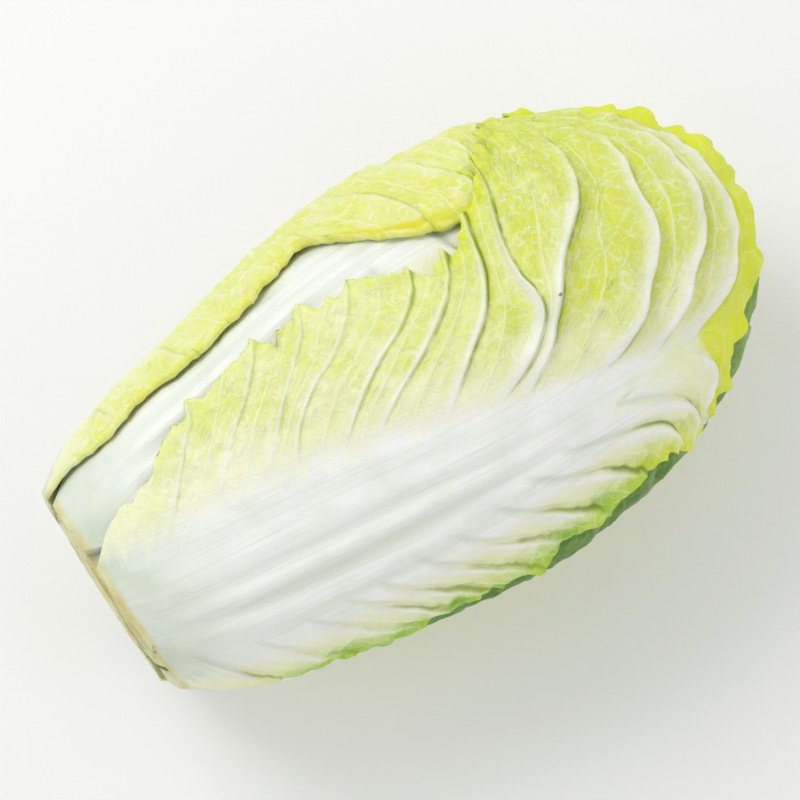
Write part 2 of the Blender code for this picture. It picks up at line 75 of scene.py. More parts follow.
# Leaf blades, in metres
AIR = 0.0009
LAMINA = 0.0008
RIB_FADE = ((0.0, 1.0), (0.08, 0.92), (0.16, 0.62), (0.22, 0.36), (0.28, 0.14), (0.34, 0.0))
BASE_FILL = 0.040
BASE_FULLNESS = 0.35
GROOVES = 5
GROOVE_DEPTH = 0.0013
CREASE = 0.10
CREASE_LENGTH = 0.0012
VEIN_WIDTH = ((0.0, 0.0005), (0.13, 0.0006), (0.165, 0.0015), (0.20, 0.0023), (0.31, 0.0016))
RIGHT_VEIN_WIDTH = ((0.0, 0.0010), (0.16, 0.0014), (0.20, 0.0021), (0.31, 0.0016))
VEIN_AT_MARGIN = 0.0003
VEIN_RIDGE = 0.0008
FOLDS_FROM = 0.125
FOLDS_TO = 0.170
QUILT_CELL = (0.0080, 0.0065)
QUILT_LEVEL = 0.6
CRINKLES = ((0.015, 5), (0.006, 8), (0.013, 15))
COARSE_CRINKLE = 0.0015
FINE_CRINKLE = 0.0005
MIDDLE_VEIN = 0.0006
MIDDLE_VEIN_WIDTH = 0.0016
LOBE_LINES = (7.85, 8.1, 9.0, 9.5)
LOBE_ANGLES = (4.0, 18.0)

# Margins of the blades: metres, radians, and shares of half a blade or of its roll
TEETH_SIZES = (0.010, 0.0045)
TOOTH_FALL = 0.22
TIP_BAND = 0.012
TIP_RAGGED = 0.0030
FRILL_BAND = 0.008
COLUMN_BEND = 1.25
ROLL_SHARE = 0.052
ROLL_ENDS = (0.172, 0.188)
ROLL_TURN = 3.4
HEM_LINE = 1.65
HEM_LINE_WIDTH = 0.42
HEM_TINT = 0.42

# The uneven cut of the base, in metres, and where its rounded corner is, in degrees round the axis
CORNER_DROP = 0.0038
CORNER_CUT = 0.0045
CORNER_ANGLE = -92.0
CORNER_SPREAD = 42.0
CUT_WAVE = 0.0011
CUT_DEPTH = 0.0085
BASE_SHIFT_END = 0.045
CUT_EDGE = (0.0008, 0.0035)

# How finely a grid is drawn, settled and pressed
GRID_PASSES = 14
PRESS_PASSES = 40
CROWDING = 0.55

# Leaves other than the front one, as in the part's source
SPREAD = ((0.035, 0.90), (0.07, 0.96), (0.15, 1.0), (0.31, 0.84))
RIB = ((0.0, 0.030), (0.06, 0.029), (0.15, 0.019), (0.23, 0.010), (0.34, 0.005))
SHORT_RIB = ((0.0, 0.022), (0.04, 0.027), (0.15, 0.019), (0.23, 0.010), (0.34, 0.005))
STALK_RIB = ((0.0, 0.024), (0.04, 0.031), (0.10, 0.028), (0.15, 0.019), (0.23, 0.010), (0.34, 0.005))
INMOST_RIB = ((0.0, 0.025), (0.06, 0.026), (0.15, 0.018), (0.23, 0.010), (0.34, 0.005))
PLEATS = ((0.0, 0.0004), (0.05, 0.0010), (0.09, 0.0028), (0.18, 0.0042), (0.31, 0.0040))
BACK_PLEATS = ((0.0, 0.0001), (0.10, 0.0003), (0.16, 0.0010), (0.31, 0.0030))
SHADED_PLEATS = ((0.0, 0.0002), (0.10, 0.0005), (0.20, 0.0009), (0.31, 0.0009))
VEIN_REACH = 70

# The cut stem
STEM = ((0.0, 0.0185), (0.015, 0.0180), (0.040, 0.0160), (0.070, 0.0125), (0.100, 0.0080), (0.112, 0.0040))
STUMP = ((0.0, 0.026), (0.015, 0.025), (0.040, 0.0175), (0.070, 0.0130), (0.100, 0.0085), (0.112, 0.0045))
STEM_AIR = 0.0012
STEM_SIDES = 120
STEM_STATIONS = 30
CUT_RINGS = (1.0, 0.97, 0.90, 0.80, 0.65, 0.50, 0.35, 0.20, 0.08)
FACE_START = 0.0002
FACE_HOLLOW = 0.0012
FACE_ROUGH = 0.0004
FACE_GRAIN = 220
FACE_END = 0.003

# The camera, the light and the floor
VIEW_TURN = -33.6
VIEW_RISE = 77.5
VIEW_DISTANCE = 1.50
VIEW_FIELD = 11.22
VIEW_AIM = Vector((-0.0090, 0.0020, 0.075))
FLOOR_REACH = 4.0
FLOOR_WHITE = 0.93
SKY_STRENGTH = 0.72

# Textures of a leaf, in cells per millimetre
CLOUD = 0.055
SPECK_GRID = 0.06
BEND, WARP = 0.07, 0.16
NETS = ((0.17, 0.010, 0.075), (0.50, 0.02, 0.13))
BRANCHES = 0.085

LEAF_SURFACE = {
    "Specular IOR Level": 0.35, "Subsurface Weight": 0.18,
    "Subsurface Radius": (0.6, 1.0, 0.3), "Subsurface Scale": 0.0030,
}


@dataclass
class Leaf:
    """One large leaf. Places along it are metres from the cut base, and places across it are degrees."""

    name: str
    slot: str
    angle: float
    left: tuple
    right: tuple
    midrib: tuple
    veins: tuple
    rib_width: tuple
    rib_thickness: float
    depth: float
    left_pleats: tuple
    right_pleats: tuple
    columns: int
    cell: float
    seed: int
    green: tuple = ((0.0, 0.10), (0.06, 0.25), (0.15, 0.45), (0.22, 0.62), (0.31, 0.85))
    teeth: float = 2.0
    frill: float = 0.0030
    quilt: float = 0.0010
    roll: float = 0.0
    lobe: float = 0.0
    tip_band: bool = False
    edge_band: float = 0.007
    right_green: float = 1.0
    right_teeth: float = 1.0
    vein_strength: float = 1.0
    crinkles: float = 1.0
    look: str = ""
    fills_base: bool = False


def curve(points, where):
    """Reads a smooth curve through (place, value) points."""
    places, values = (np.array(column, float) for column in zip(*points))
    where = np.clip(where, places[0], places[-1])
    slopes = np.gradient(values, places)
    left = np.clip(np.searchsorted(places, where) - 1, 0, len(places) - 2)
    step = places[left + 1] - places[left]
    f = (where - places[left]) / step
    start = values[left] * (1 + 2 * f) * (1 - f) ** 2 + slopes[left] * step * f * (1 - f) ** 2
    end = values[left + 1] * f**2 * (3 - 2 * f) - slopes[left + 1] * step * f**2 * (1 - f)
    return start + end


def rise(value, low, high):
    """Nothing below the low value, one above the high one, and smooth between."""
    share = np.clip((value - low) / (high - low), 0.0, 1.0)
    return share * share * (3 - 2 * share)


def bell(value, width):
    return np.exp(-((value / width) ** 2))


def noise_field(x, y, seed):
    """Smooth noise from about -1 to 1 at each point of a grid."""
    x, y = np.broadcast_arrays(x, y)
    values = [noise.noise(Vector((a, b, seed))) for a, b in zip(x.ravel(), y.ravel())]
    return np.array(values).reshape(x.shape)


def cell_field(x, y, seed):
    """Distance from the border between two cells of an uneven net, in cells."""
    x, y = np.broadcast_arrays(x, y)
    near = [noise.voronoi(Vector((a, b, seed)))[0] for a, b in zip(x.ravel(), y.ravel())]
    return np.array([two - one for one, two, *_ in near]).reshape(x.shape)


def rays(angle, along, across):
    """Origins on the axis and directions of the rays at a place along a leaf and degrees across it."""
    turn, side = math.radians(angle), np.radians(across)
    lift = np.maximum(along - BARREL_LENGTH, 0.0) / DOME_RADIUS
    outward = np.array([0.0, math.sin(turn), math.cos(turn)])
    sideways = np.array([0.0, math.cos(turn), -math.sin(turn)])
    forward = np.array([1.0, 0.0, 0.0])
    directions = (
        (np.cos(side) * np.cos(lift))[..., None] * outward
        + (np.cos(side) * np.sin(lift))[..., None] * forward
        + np.sin(side)[..., None] * sideways
    )
    origins = np.minimum(along, BARREL_LENGTH)[..., None] * forward
    return origins, directions


def surface(origins, directions):
    """Distance along each ray to the plain outer surface of the whole head."""
    lift = np.degrees(np.arcsin(np.clip(directions[..., 0], -1.0, 1.0)))
    reach = np.where(lift > 0.01, curve(DOME, lift), curve(BARREL, origins[..., 0]))
    height, width = directions[..., 2], np.hypot(directions[..., 0], directions[..., 1])
    return reach / np.sqrt((height / HEIGHT_RATIO) ** 2 + width**2)


def over_floor(distance, directions):
    """Keeps what faces down above the flat spot that the head rests on."""
    down = np.maximum(-directions[..., 2], 1e-6)
    return np.minimum(distance, FLOOR_DEPTH / down)


def free_distance(origins, directions, trees):
    """Least distance to the blades already placed, over the points round each point of a grid."""
    free = np.full(origins.shape[:2], 1.0)
    for tree in trees:
        for place in np.ndindex(free.shape):
            hit = tree.ray_cast(Vector(origins[place]), Vector(directions[place]))
            if hit[3] is not None:
                free[place] = min(free[place], hit[3])
    padded = np.pad(free, 1, mode="edge")
    rows, columns = free.shape
    return np.min([padded[i : i + rows, j : j + columns] for i in range(3) for j in range(3)], axis=0)


def pressed(wanted, limit):
    """Presses a blade under its limit, and draws the points round each pressed one in with it."""
    drop = np.maximum(wanted - limit, 0.0)
    for _ in range(PRESS_PASSES):
        padded = np.pad(drop, 1, mode="edge")
        near = padded[:-2, 1:-1] + padded[2:, 1:-1] + padded[1:-1, :-2] + padded[1:-1, 2:]
        drop = np.maximum(drop, near / 4)
    return wanted - drop


class Grid:
    """The places of a leaf's points. Rows follow the veins, and are closer together beside each vein."""

    def __init__(self, leaf):
        self.leaf = leaf
        places = self.row_places()
        self.line = np.minimum(places.astype(int), len(leaf.veins) - 1)
        self.share = (places - self.line)[:, None]
        self.place = places[:, None]
        evenly = np.linspace(-1.0, 1.0, leaf.columns + 1)[None, :]
        self.c = np.sin(COLUMN_BEND * evenly) / math.sin(COLUMN_BEND)
        self.settle(places)
        self.add_teeth()
        self.shape_base()
        self.origins, self.directions = rays(leaf.angle, self.along, self.across)
        self.plain = surface(self.origins, self.directions)
        self.off = np.radians(self.across - self.middle) * self.plain
        self.measure()

    def row_places(self):
        """Where each row is: the number of the vein below it and its share of the way to the next."""
        leaf = self.leaf
        degrees = np.linspace(-50, 50, 21)
        lines = self.lines(degrees)
        places = []
        for number, gap in enumerate(np.diff(lines, axis=0).max(axis=1)):
            count = int(np.clip(round(gap / leaf.cell), 6, 30))
            u = np.arange(count) / count
            places.append(number + u - CROWDING * np.sin(math.tau * u) / math.tau)
        return np.concatenate(places + [[float(len(leaf.veins))]])

    def lines(self, across):
        """Places along the leaf of the cut base and of each vein, at given degrees across it."""
        return np.stack([np.zeros_like(across)] + [curve(vein, across) for vein in self.leaf.veins])

    def settle(self, places):
        """Moves the rows step by step until each follows its veins between the margins."""
        leaf, columns = self.leaf, np.arange(self.leaf.columns + 1)[None, :]
        rows = np.arange(len(places))[:, None]
        self.along = (places / places[-1])[:, None] * leaf.veins[-1][0][1] + 0.0 * self.c
        for _ in range(GRID_PASSES):
            self.middle = curve(leaf.midrib, self.along)
            over = curve(leaf.left, self.along) - self.middle
            under = self.middle - curve(leaf.right, self.along)
            self.half = np.where(self.c > 0, over, under)
            self.across = self.middle + self.half * self.c
            lines = self.lines(self.across)
            self.low = lines[self.line[:, None], rows, columns]
            self.high = lines[self.line[:, None] + 1, rows, columns]
            self.along = 0.5 * self.along + 0.5 * (self.low + (self.high - self.low) * self.share)

    def add_teeth(self):
        """Cuts the side margins into uneven teeth, one large one for each vein and small ones between."""
        leaf, arc = self.leaf, self.along
        climb = np.clip((self.share - TOOTH_FALL) / (1 - TOOTH_FALL), 0, 1)
        large = 0.5 - rise(self.share, 0.0, TOOTH_FALL) + 1.1 * climb**2
        fields = [noise_field(arc / size, np.sign(self.c), leaf.seed) for size in TEETH_SIZES]
        pointed = [0.45 - 2.0 * np.abs(field) for field in fields]
        rough = np.abs(self.c) ** 14 * rise(arc, 0.005, 0.03) * np.where(self.c < 0, leaf.right_teeth, 1.0)
        teeth = leaf.teeth * (0.7 * large + 0.9 * pointed[0] + 0.6 * pointed[1]) * rough
        self.across = self.across + teeth * np.sign(self.c)
        tip = bell(self.high - self.along, TIP_BAND) * (self.line[:, None] == len(leaf.veins) - 1)
        wide = noise_field(self.across / 5.0, 0.0, leaf.seed + 3)
        fine = noise_field(self.across / 1.8, 1.0, leaf.seed)
        self.along = self.along + TIP_RAGGED * tip * (wide + 0.5 * fine)

    def shape_base(self):
        """Makes the cut of the base uneven, and cuts it back at its lower corner."""
        turn = np.radians(self.leaf.angle + self.across)
        self.corner = bell(self.leaf.angle + self.across - CORNER_ANGLE, CORNER_SPREAD)
        wave = CUT_WAVE * (1 + noise_field(2.2 * np.cos(turn), 2.2 * np.sin(turn), 7.0))
        back = (wave + CORNER_CUT * self.corner) * bell(self.leaf.depth, CUT_DEPTH)
        self.from_cut = self.along
        self.along = self.along + back * np.clip(1 - self.along / BASE_SHIFT_END, 0.0, 1.0) ** 2

    def measure(self):
        """Distances in metres from the rib's edge, the nearest veins and the margins."""
        leaf = self.leaf
        self.width = curve(leaf.rib_width, self.along)
        self.side = np.abs(self.off) - self.width
        full = np.radians(self.half) * self.plain - self.width
        self.outward = np.clip(self.side / np.maximum(full, 0.004), 0.0, 1.0)
        step = np.radians(1.0) * self.plain
        before, after = self.lines(self.across - 0.5), self.lines(self.across + 0.5)
        slopes = (after - before) / step
        rows, columns = np.arange(len(self.line))[:, None], np.arange(leaf.columns + 1)[None, :]
        low_slope = slopes[self.line[:, None], rows, columns]
        high_slope = slopes[self.line[:, None] + 1, rows, columns]
        self.past = np.maximum(self.along - self.low, 0.0) / np.sqrt(1 + low_slope**2)
        self.before = np.maximum(self.high - self.along, 0.0) / np.sqrt(1 + high_slope**2)
        self.near = np.minimum(self.past, self.before)
        wander = 0.14 * noise_field(self.side / 0.03, self.line[:, None] * 7.3, leaf.seed + 2)
        self.mid = (self.share - 0.48 - wander) * (self.past + self.before)
        to_side = (1 - np.abs(self.c)) * np.radians(self.half) * self.plain
        to_tip = np.maximum(self.lines(self.across)[-1] - self.along, 0.0)
        self.margin = np.minimum(to_side, to_tip)


def folded(grid):
    """How far the veins of a leaf stand up in folds: little low on the left, and more by the tip."""
    by_tip = rise(grid.along, FOLDS_FROM, FOLDS_TO)
    return np.maximum(by_tip, 0.55 * rise(-grid.off, 0.0, 0.01))


def crumpled(grid):
    """The upper ends of the dome's panels, where veins lose their way in crinkles."""
    return rise(grid.outward, 0.50, 0.80) * rise(grid.along, 0.17, 0.21) * (grid.off > 0)


def vein_masks(grid):
    """Main veins, and the painted shade in the creases behind them, from nothing to one."""
    last = len(grid.leaf.veins) - 1
    line = grid.line[:, None]
    width = np.where(grid.off > 0, curve(VEIN_WIDTH, grid.along), curve(RIGHT_VEIN_WIDTH, grid.along))
    nearest = line + (grid.share > 0.5)
    uneven = 1 + 0.45 * noise_field(grid.side / 0.013, nearest * 5.3, grid.leaf.seed + 51)
    half = width * uneven * (1 - grid.outward**2) + VEIN_AT_MARGIN
    started = rise(grid.side, -0.010, 0.002)
    behind = bell(grid.past, 0.5 * half) * (line > 0)
    ahead = 0.75 * bell(grid.before, 1.1 * half) + 0.25 * bell(grid.before, 3.4 * half)
    fade = grid.leaf.vein_strength * (1 - 0.45 * rise(grid.outward, 0.35, 1.0) - 0.45 * crumpled(grid))
    vein = np.maximum(behind, ahead * (line < last)) * started * fade
    length = np.minimum(CREASE_LENGTH, 0.2 * (grid.high - grid.low))
    deep = rise(grid.side, -0.004, 0.008) * (line > 0) * (0.35 + 0.65 * folded(grid))
    # Painted shade: a thin dark line of colour in the crease behind each vein, stronger where the folds
    # stand up
    crease = bell(grid.past - 0.45 * half - 0.6 * length, 0.45 * length) * deep * grid.leaf.vein_strength
    return vein, crease, half, length


def pleat_shape(grid, half, length):
    """Height of a pleat between two veins: it drops in the crease after one and climbs to the next."""
    fall = 1.0 - rise(grid.past, 0.3 * half, 0.4 * half + length)
    climb = np.clip((grid.share - CREASE) / (1.0 - CREASE), 0.0, 1.0) ** 1.2
    return np.maximum(fall, climb)


def quilting(grid):
    """Cells of the blade that puff out between its small veins."""
    leaf = grid.leaf
    x, y = grid.off / QUILT_CELL[0], grid.along / QUILT_CELL[1]
    bend = 0.4 * noise_field(grid.off / 0.012, grid.along / 0.012, leaf.seed + 11)
    cells = cell_field(x + bend, y - bend + 0.4 * np.abs(x), leaf.seed)
    return 1 - np.exp(-cells / 0.25)


def rib_share(grid):
    """One on the line of the midrib, falling to nothing at the rib's edge."""
    return np.clip(1.0 - (grid.off / grid.width) ** 2, 0.0, 1.0) ** 1.3


def groove_lines(grid):
    """Uneven grooves along the rib: where they are, and how deep they get."""
    drift = 0.7 * noise_field(grid.along / 0.08, grid.off / 0.02, grid.leaf.seed + 41)
    waves = np.cos(math.pi * (GROOVES * grid.off / grid.width + drift))
    stronger = 0.45 + 0.55 * rise(-grid.off, -0.012, 0.010)
    return waves, stronger * (1 - rise(grid.along, 0.10, 0.19)) * rise(grid.along, 0.0, 0.05)


def joining(grid):
    """Soft grooves that run on from the creases of the right side into the rib."""
    band = rise(grid.side, -0.022, -0.008) * (1 - rise(grid.side, 0.002, 0.012)) * (grid.off < 0)
    return band * bell(grid.past - 0.0025, 0.0022) * (grid.line[:, None] > 0)


def lobe_shape(grid):
    """Where the large lobe stands out, at the top of the front leaf's left side."""
    start, full, fading, end = LOBE_LINES
    reach = rise(grid.place, start, full) * (1 - rise(grid.place, fading, end))
    return reach * rise(grid.across, *LOBE_ANGLES)


def crinkling(grid, lamina):
    """Coarse and fine crinkles of the blade, and the frill of its margin."""
    leaf = grid.leaf
    coarse, fine, wave = (
        noise_field(grid.off / size, grid.along / size, leaf.seed + draw) for size, draw in CRINKLES
    )
    crinkle = (COARSE_CRINKLE * coarse + FINE_CRINKLE * fine) * (1 + 0.9 * crumpled(grid)) * leaf.crinkles
    waved = 0.45 + 0.8 * fine + 1.1 * wave * leaf.tip_band
    frill = leaf.frill * np.exp(-grid.margin / FRILL_BAND) * waved * rise(grid.along, 0.02, 0.08)
    return crinkle * lamina + frill


def relief(grid):
    """Height of every feature over the plain surface, and the masks that the material reads."""
    leaf = grid.leaf
    vein, crease, half, length = vein_masks(grid)
    lamina = rise(grid.side, 0.0, 0.016) * rise(grid.margin, 0.0, 0.006)
    blade = rise(grid.side, -0.004, 0.014)
    waves, deep = groove_lines(grid)
    grooves = GROOVE_DEPTH * (waves * rib_share(grid) * deep - joining(grid))
    size = np.where(grid.off > 0, curve(leaf.left_pleats, grid.along), curve(leaf.right_pleats, grid.along))
    flatter = 0.65 * rise(grid.outward, 0.65, 1.0) * (grid.off < 0) + 0.45 * crumpled(grid)
    pleats = size * pleat_shape(grid, half, length) * blade * (1 - flatter * leaf.tip_band)
    puffs = leaf.quilt * (quilting(grid) - QUILT_LEVEL) * lamina * (1 - 0.8 * vein)
    ridges = VEIN_RIDGE * vein * blade * (0.4 + 0.6 * folded(grid))
    middle = MIDDLE_VEIN * bell(grid.mid, MIDDLE_VEIN_WIDTH) * (1 - rise(grid.outward, 0.3, 0.8)) * lamina
    corner = CORNER_DROP * (1 - rise(grid.along, 0.0, BASE_SHIFT_END)) * grid.corner
    height = grooves + pleats + leaf.lobe * lobe_shape(grid) + puffs + crinkling(grid, lamina)
    return height + ridges + middle - corner, leaf_masks(grid, vein, crease, waves, deep)


def edge_mask(grid):
    """The coloured margin of a leaf, with the front one's whole tip, or the hem of a rolled one."""
    leaf = grid.leaf
    band = leaf.edge_band * (1 + 0.6 * (grid.off < 0) * leaf.tip_band)
    edge = np.exp(-grid.margin / band) * rise(grid.along, 0.015, 0.06)
    if leaf.tip_band:
        tip = rise(grid.share, 0.02, 0.25) * (grid.line[:, None] == len(leaf.veins) - 1)
        strong = np.maximum(rise(-grid.off, 0.0, 0.02), bell(grid.along - 0.185, 0.022))
        edge = np.maximum(edge * (0.35 + 0.65 * strong), tip)
    if leaf.roll:
        uneven = 1.1 + 0.8 * noise_field(grid.along / 0.012, grid.c * 4.0, leaf.seed + 31)
        line = bell(grid.c + 1 - HEM_LINE * ROLL_SHARE, HEM_LINE_WIDTH * ROLL_SHARE) * uneven
        hem = HEM_TINT * (1 - rise(grid.c, -1 + ROLL_SHARE, -1 + 1.3 * ROLL_SHARE))
        edge = np.maximum(edge, np.maximum(line, hem) * rise(grid.along, 0.01, 0.04))
    return edge


def leaf_masks(grid, vein, crease, waves, deep):
    """What the material reads: masks from nothing to one, and places in millimetres."""
    leaf, edge = grid.leaf, edge_mask(grid)
    end = 1 - rise(grid.place / len(leaf.veins), 0.80 if leaf.tip_band else 0.55, 0.95)
    zone = (1 - rise(np.abs(grid.off), 0.62 * grid.width, 1.30 * grid.width)) * end
    under = np.where(grid.off < 0, leaf.right_green, 1.0)
    low_margin = rise(-grid.off, 0.0, 0.02) * rise(edge, 0.15, 0.55) * (1 - rise(grid.along, 0.18, 0.21))
    return {
        "white": zone,
        "vein": vein * (1 - 0.85 * low_margin),
        # painted shade in the creases behind the veins
        "crease": crease,
        "edge": edge,
        "green": curve(leaf.green, grid.along) * under,
        "right": rise(-grid.off, 0.0, 0.03) * (1 - rise(grid.along, 0.16, 0.21)),
        # painted shade in the rib's grooves and in the soft grooves that join them
        "dull_and_groove_shade": np.maximum(rib_share(grid) * (0.5 - 0.5 * waves) * deep, 0.9 * joining(grid)),
        "cut": 1 - rise(grid.from_cut, *CUT_EDGE),
        "place": grid.place,
        "side": 1000 * grid.side,
        "off": 1000 * grid.off,
        "along": 1000 * grid.along,
        "near": 1000 * grid.near,
        "mid": 1000 * grid.mid,
    }


def leaf_points(grid, trees):
    """Outer and inner points of a leaf's blade, and its masks."""
    leaf = grid.leaf
    height, masks = relief(grid)
    wanted = grid.plain - leaf.depth + height
    outer = pressed(wanted, free_distance(grid.origins, grid.directions, trees) - AIR)
    outer = over_floor(outer, grid.directions)
    fullness = BASE_FULLNESS + (1 - BASE_FULLNESS) * rise(grid.along, 0.0, BASE_FILL)
    rib = leaf.rib_thickness * curve(RIB_FADE, grid.along) * rib_share(grid) ** fullness
    inner = outer - LAMINA - rib
    if leaf.fills_base:
        to_stem = curve(STEM, grid.along) + STEM_AIR
        near_base = 1 - rise(grid.along, 0.5 * BASE_FILL, BASE_FILL)
        inner += (to_stem - inner) * near_base * rib_share(grid) ** BASE_FULLNESS
    top = grid.origins + outer[..., None] * grid.directions
    low = grid.origins + inner[..., None] * grid.directions
    if leaf.roll:
        top, low = rolled(grid, top, low)
    return top, low, masks


def unit(vectors):
    return vectors / np.maximum(np.linalg.norm(vectors, axis=-1, keepdims=True), 1e-12)


def rolled(grid, top, low):
    """Rolls the right margin of a blade outward over a small uneven radius."""
    leaf = grid.leaf
    start = int(np.searchsorted(grid.c[0], -1 + ROLL_SHARE))
    base, base_low = top[:, start : start + 1], low[:, start : start + 1]
    tangent = unit(top[:, start : start + 1] - top[:, start + 2 : start + 3])
    normal = unit(base - base_low)
    steps = np.linalg.norm(np.diff(top[:, : start + 1], axis=1), axis=-1)
    gone = np.cumsum(steps[:, ::-1], axis=1)[:, ::-1]
    uneven = noise_field(grid.along[:, :1] / 0.009, 0.0, leaf.seed + 21)
    radius = leaf.roll * (1.0 + 0.6 * uneven) * (1 - 0.9 * rise(grid.along[:, :1], *ROLL_ENDS))
    angle = np.minimum(gone / radius, ROLL_TURN + 0.9 * uneven)
    forward = (radius * np.sin(angle))[..., None] * tangent
    upward = (radius * (1 - np.cos(angle)))[..., None] * normal
    facing = np.cos(angle)[..., None] * normal - np.sin(angle)[..., None] * tangent
    thick = np.linalg.norm(top[:, :start] - low[:, :start], axis=-1, keepdims=True)
    top, low = top.copy(), low.copy()
    top[:, :start] = base + forward + upward
    low[:, :start] = top[:, :start] - thick * facing
    return top, low


def sheet_faces(rows, columns):
    """Four corners of each face of a closed blade between two like grids of points."""
    index = np.arange(rows * columns).reshape(rows, columns)
    top = np.stack([index[:-1, :-1], index[1:, :-1], index[1:, 1:], index[:-1, 1:]], axis=-1).reshape(-1, 4)
    low = top[:, ::-1] + rows * columns
    border = np.concatenate([index[:, 0], index[-1, 1:], index[-2::-1, -1], index[0, -2:0:-1]])
    after = np.roll(border, -1)
    rim = np.stack([after, border, border + rows * columns, after + rows * columns], axis=-1)
    return np.concatenate([top, low, rim])


def blade(name, top, low, masks):
    """A closed blade as an object, with its masks stored on its points."""
    rows, columns = top.shape[:2]
    points = np.concatenate([top.reshape(-1, 3), low.reshape(-1, 3)])
    faces = sheet_faces(rows, columns)
    tree = BVHTree.FromPolygons(points.tolist(), faces.tolist())
    data = bpy.data.meshes.new(name)
    data.from_pydata((points + np.array(AXIS)).tolist(), [], faces.tolist())
    for mask, values in masks.items():
        store(data, mask, np.broadcast_to(values, (rows, columns)))
    return finished(name, data), tree


def store(data, name, values):
    """One mask on the points of a blade, alike on both of its faces."""
    both = np.concatenate([values.ravel(), values.ravel()]).astype(np.float32)
    data.attributes.new(name, "FLOAT", "POINT").data.foreach_set("value", both)


def finished(name, data):
    mesh = bmesh.new()
    mesh.from_mesh(data)
    bmesh.ops.recalc_face_normals(mesh, faces=mesh.faces)
    mesh.to_mesh(data)
    mesh.free()
    data.shade_smooth()
    made = bpy.data.objects.new(name, data)
    bpy.context.collection.objects.link(made)
    return made


def front_leaf():
    """The outermost leaf: a broad fan of a rib, deep lobes on one side and pleats on the other."""
    veins = (
        ((-62, 0.036), (-45, 0.022), (-13, 0.008), (10, 0.020), (24, 0.032), (39, 0.047))
        + ((53, 0.061), (72, 0.074)),
        ((-62, 0.064), (-45, 0.044), (-13, 0.024), (8, 0.038), (23, 0.052), (30, 0.060), (36, 0.067))
        + ((42, 0.076), (51, 0.088), (72, 0.104)),
        ((-62, 0.092), (-42, 0.062), (-13, 0.042), (8, 0.056), (17, 0.065), (24, 0.075), (34, 0.087))
        + ((41, 0.097), (52, 0.111), (72, 0.126)),
        ((-62, 0.112), (-50, 0.094), (-38, 0.074), (-13, 0.060), (6, 0.071), (18, 0.080), (27, 0.089))
        + ((33, 0.100), (38, 0.113), (47, 0.127), (55, 0.136), (72, 0.146)),
        ((-62, 0.130), (-50, 0.110), (-38, 0.088), (-13, 0.076), (4, 0.088), (16, 0.100), (22, 0.110))
        + ((28, 0.123), (32, 0.135), (38, 0.146), (50, 0.154), (72, 0.160)),
        ((-62, 0.147), (-48, 0.127), (-36, 0.104), (-13, 0.092), (5, 0.104), (13, 0.112), (18, 0.123))
        + ((24, 0.139), (31, 0.153), (36, 0.160), (50, 0.166), (72, 0.171)),
        ((-62, 0.163), (-45, 0.143), (-34, 0.119), (-13, 0.108), (0, 0.122), (6, 0.133), (12, 0.143))
        + ((17, 0.152), (22, 0.161), (30, 0.169), (43, 0.175), (55, 0.180), (72, 0.184)),
        ((-62, 0.176), (-50, 0.168), (-40, 0.155), (-30, 0.134), (-13, 0.124), (-4, 0.136), (1, 0.150))
        + ((5, 0.163), (9, 0.172), (14, 0.179), (20, 0.181), (26, 0.180), (33, 0.181), (43, 0.185))
        + ((50, 0.189), (63, 0.196), (72, 0.199)),
        ((-62, 0.187), (-45, 0.184), (-36, 0.172), (-28, 0.152), (-13, 0.141), (-3, 0.156), (2, 0.167))
        + ((5, 0.174), (11, 0.182), (16, 0.188), (23, 0.196), (29, 0.207), (34, 0.219), (42, 0.232))
        + ((49, 0.242), (57, 0.252), (65, 0.263), (72, 0.268)),
        ((-62, 0.197), (-41, 0.207), (-35, 0.200), (-29, 0.180), (-23, 0.162), (-16, 0.160), (-10, 0.174))
        + ((-7, 0.192), (-3, 0.207), (5, 0.223), (13, 0.237), (17, 0.241), (25, 0.246), (33, 0.256))
        + ((41, 0.266), (49, 0.273), (72, 0.280)),
        ((-62, 0.206), (-41, 0.222), (-34, 0.216), (-30, 0.208), (-24, 0.194), (-19, 0.186), (-14, 0.206))
        + ((-8, 0.227), (-1, 0.240), (3, 0.252), (9, 0.262), (20, 0.273), (42, 0.284), (72, 0.289)),
        ((-62, 0.213), (-41, 0.231), (-31, 0.240), (-25, 0.234), (-20, 0.228), (-16, 0.234), (-12, 0.252))
        + ((-5, 0.266), (2, 0.273), (10, 0.279), (30, 0.291), (72, 0.297)),
        ((-62, 0.222), (-41, 0.240), (-30, 0.255), (-19, 0.270), (-3, 0.285), (11, 0.295), (30, 0.302))
        + ((72, 0.308),),
    )
    return Leaf(
        name="leaf_01_front",
        slot="outer_leaf",
        angle=-25.0,
        left=(
            (0.0, 28), (0.012, 38), (0.030, 41), (0.050, 49), (0.104, 53), (0.132, 48),
            (0.146, 42), (0.170, 42), (0.184, 54), (0.205, 66), (0.308, 66),
        ),
        right=(
            (0.0, -56), (0.022, -66), (0.041, -63), (0.056, -62), (0.078, -64), (0.104, -58),
            (0.131, -56), (0.150, -51), (0.176, -49), (0.198, -48), (0.22, -53), (0.31, -56),
        ),
        midrib=((0.0, -10), (0.10, -13), (0.20, -19), (0.245, -24), (0.31, -22)),
        veins=veins,
        rib_width=((0.0, 0.034), (0.06, 0.037), (0.15, 0.024), (0.20, 0.012), (0.25, 0.006), (0.32, 0.004)),
        rib_thickness=0.0080,
        depth=0.0010,
        left_pleats=((0.0, 0.0001), (0.11, 0.0004), (0.165, 0.0014), (0.200, 0.0032), (0.31, 0.0032)),
        right_pleats=((0.0, 0.0006), (0.08, 0.0015), (0.15, 0.0022), (0.31, 0.0030)),
        columns=150,
        cell=0.0014,
        seed=1,
        teeth=4.0,
        green=((0.0, 0.10), (0.06, 0.30), (0.13, 0.42), (0.18, 0.80), (0.24, 0.95), (0.31, 1.0)),
        lobe=0.0026,
        tip_band=True,
        right_green=0.45,
        right_teeth=0.3,
    )


